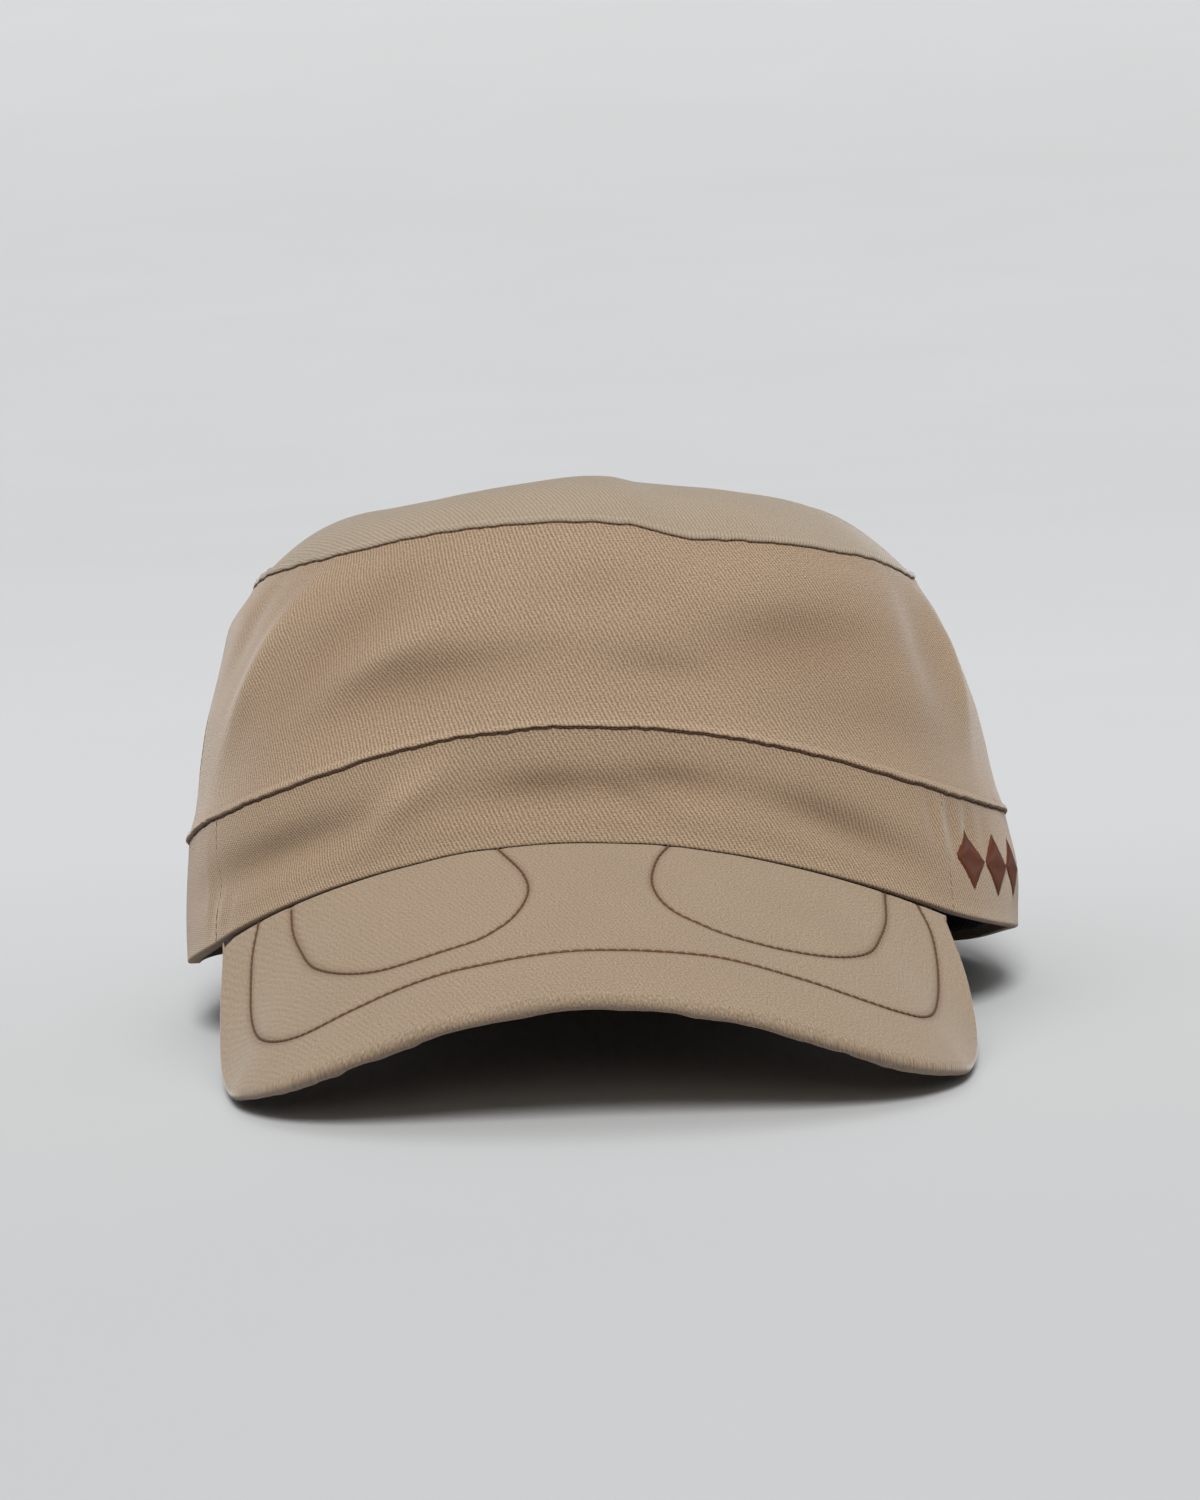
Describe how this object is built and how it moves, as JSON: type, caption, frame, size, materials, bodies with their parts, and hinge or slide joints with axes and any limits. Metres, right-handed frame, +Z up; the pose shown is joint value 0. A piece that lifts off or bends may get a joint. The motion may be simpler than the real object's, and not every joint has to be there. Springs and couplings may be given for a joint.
{
  "type": "cadet cap",
  "caption": "Cotton cadet cap with a low domed top, an upright crown wall, a band and a short stiff peak curved down at both sides, resting on its back hem and the peak's corners.",
  "frame": {"origin": "under the middle of the cap's bounding box, on the surface it rests on", "axes": "+Z up, -Y the way the peak points, +X the wearer's left"},
  "size_m": [0.1725, 0.2624, 0.1114],
  "materials": {
    "crown_cloth": "matte cotton twill",
    "band_cloth": "matte cotton twill",
    "peak_cloth": "matte cotton twill over a stiff board",
    "sweatband_cloth": "matte woven cotton"
  },
  "bodies": {
    "root": {"crown_top": "crown_cloth", "crown_front": "crown_cloth", "crown_back": "crown_cloth", "band_front": "band_cloth", "band_back": "band_cloth", "sweatband": "sweatband_cloth", "peak": "peak_cloth"}
  },
  "joints": []
}
